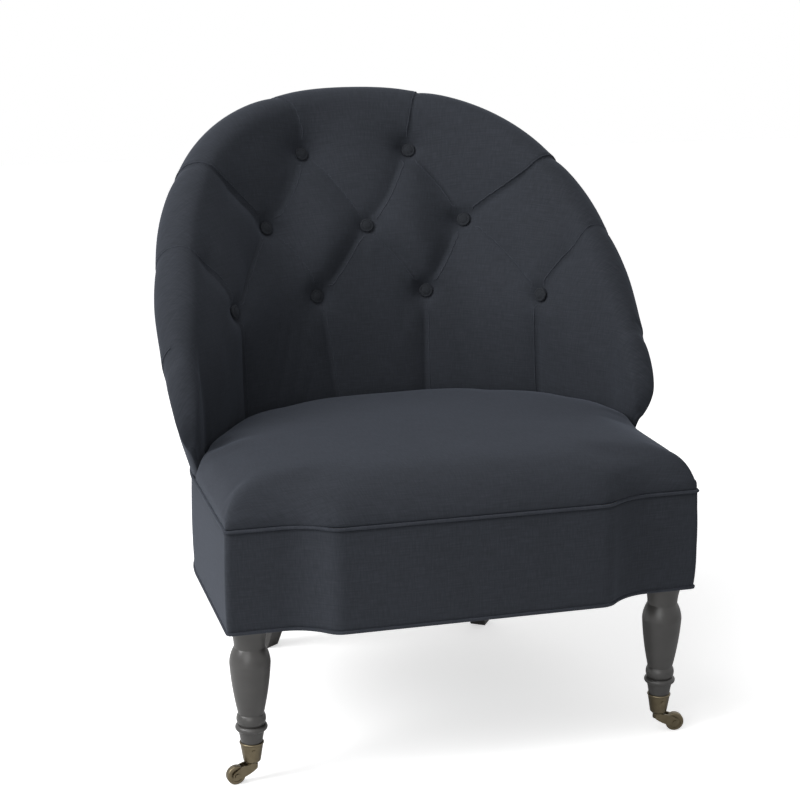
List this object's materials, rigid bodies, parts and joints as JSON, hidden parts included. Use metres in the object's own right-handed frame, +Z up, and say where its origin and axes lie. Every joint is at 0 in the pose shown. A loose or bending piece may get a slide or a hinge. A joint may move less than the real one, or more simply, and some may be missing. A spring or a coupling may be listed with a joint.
{
  "type": "button-back tub chair",
  "caption": "Low upholstered tub chair with a rolled, buttoned back, crowned seat, boxed base, turned front legs on castors and sabre rear legs.",
  "frame": {"origin": "on the floor, under the middle of the chair's overall box", "axes": "+Z up, +Y from the front of the seat towards the back, +X towards the sitter's left, which is the viewer's right from the front"},
  "size_m": [0.706, 0.7044, 0.842],
  "materials": {
    "cover_cloth": "matte woven",
    "piping_cloth": "matte woven",
    "frame_timber": "sawn",
    "leg_paint": "satin",
    "aged_brass": "aged",
    "spring_steel": "drawn",
    "lining_cloth": "plain",
    "seat_foam_slab": "open cell"
  },
  "bodies": {
    "chair": {"front_border": "cover_cloth", "left_border": "cover_cloth", "right_border": "cover_cloth", "rear_border": "cover_cloth", "seat_cushion": "cover_cloth", "back_pad": "cover_cloth", "outside_back": "cover_cloth", "upper_buttons": "cover_cloth", "middle_buttons": "cover_cloth", "lower_buttons": "cover_cloth", "seat_piping": "piping_cloth", "hem_piping": "piping_cloth", "rear_seat_piping": "piping_cloth", "rear_hem_piping": "piping_cloth", "back_piping": "piping_cloth", "front_seat_rail": "frame_timber", "side_seat_rail_left": "frame_timber", "side_seat_rail_right": "frame_timber", "rear_seat_rail": "frame_timber", "spring_rail": "frame_timber", "corner_blocks": "frame_timber", "rim_rail": "frame_timber", "wing_post_left": "frame_timber", "wing_post_right": "frame_timber", "back_slats": "frame_timber", "front_leg_left": "leg_paint", "front_leg_right": "leg_paint", "rear_leg_left": "leg_paint", "rear_leg_right": "leg_paint", "castor_cup_left": "aged_brass", "castor_cup_right": "aged_brass", "cup_screws": "aged_brass", "seat_springs": "spring_steel", "spring_clips": "spring_steel", "leg_bolts": "spring_steel", "spring_cover": "lining_cloth", "back_lining": "lining_cloth", "dust_cover": "lining_cloth", "button_twines": "lining_cloth", "seat_foam": "seat_foam_slab"},
    "castor_left": {"castor_horn_left": "aged_brass", "castor_axle_left": "aged_brass"},
    "castor_right": {"castor_horn_right": "aged_brass", "castor_axle_right": "aged_brass"},
    "wheel_left": {"castor_wheel_left": "aged_brass"},
    "wheel_right": {"castor_wheel_right": "aged_brass"}
  },
  "joints": [
    {"name": "castor_swivel_left", "type": "hinge", "parent": "chair", "child": "castor_left", "pos_m": [-0.2882, -0.2856, 0.026], "axis": [0, 0, 1], "continuous": true},
    {"name": "wheel_spin_left", "type": "hinge", "parent": "castor_left", "child": "wheel_left", "pos_m": [-0.31099, -0.2894, 0.0128], "axis": [0.1644, -0.9864, 0], "continuous": true},
    {"name": "castor_swivel_right", "type": "hinge", "parent": "chair", "child": "castor_right", "pos_m": [0.2882, -0.2856, 0.026], "axis": [0, 0, 1], "continuous": true},
    {"name": "wheel_spin_right", "type": "hinge", "parent": "castor_right", "child": "wheel_right", "pos_m": [0.31099, -0.2894, 0.0128], "axis": [0.1644, 0.9864, 0], "continuous": true}
  ]
}
